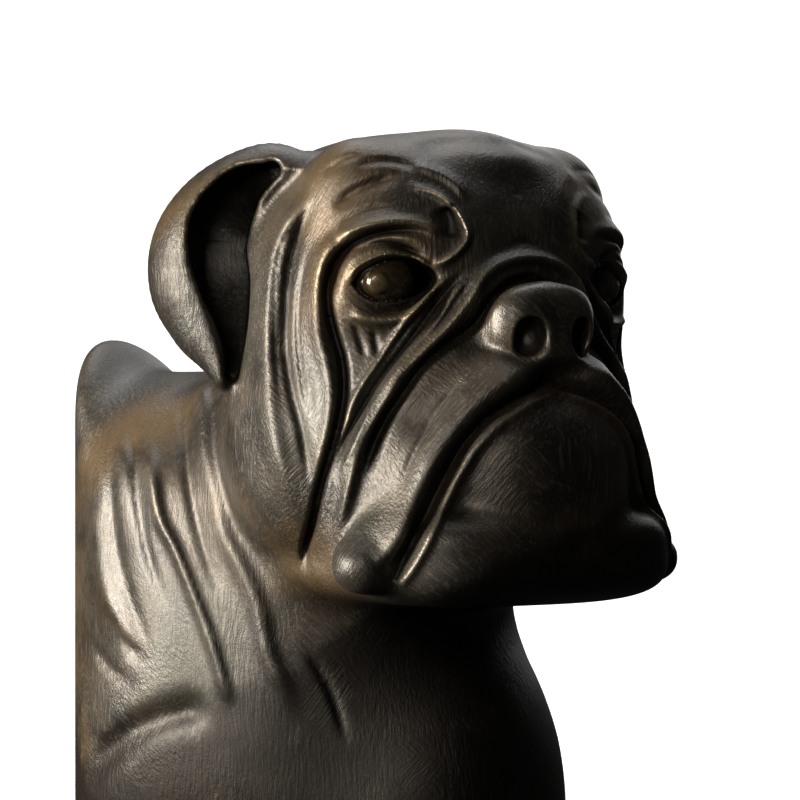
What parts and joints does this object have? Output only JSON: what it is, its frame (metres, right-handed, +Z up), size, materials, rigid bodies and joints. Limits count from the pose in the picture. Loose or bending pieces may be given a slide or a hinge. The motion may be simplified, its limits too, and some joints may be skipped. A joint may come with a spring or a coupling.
{
  "type": "dog bust statue",
  "caption": "Life-size bronze bust of a bulldog with wrinkled face, hanging ears and turned head, cut flat below to stand on a table or plinth.",
  "frame": {"origin": "centre of the bounding box in plan, on the flat underside", "axes": "+Z up, the dog's body faces -Y and its left side is towards +X; the head is turned to the dog's right, towards -X"},
  "size_m": [0.2428, 0.3112, 0.3268],
  "materials": {
    "bronze": "cast bronze with a dark brown-black patina, waxed to a soft gloss and rubbed lighter along the ridges"
  },
  "bodies": {
    "root": {"bulldog_bust": "bronze"}
  },
  "joints": []
}
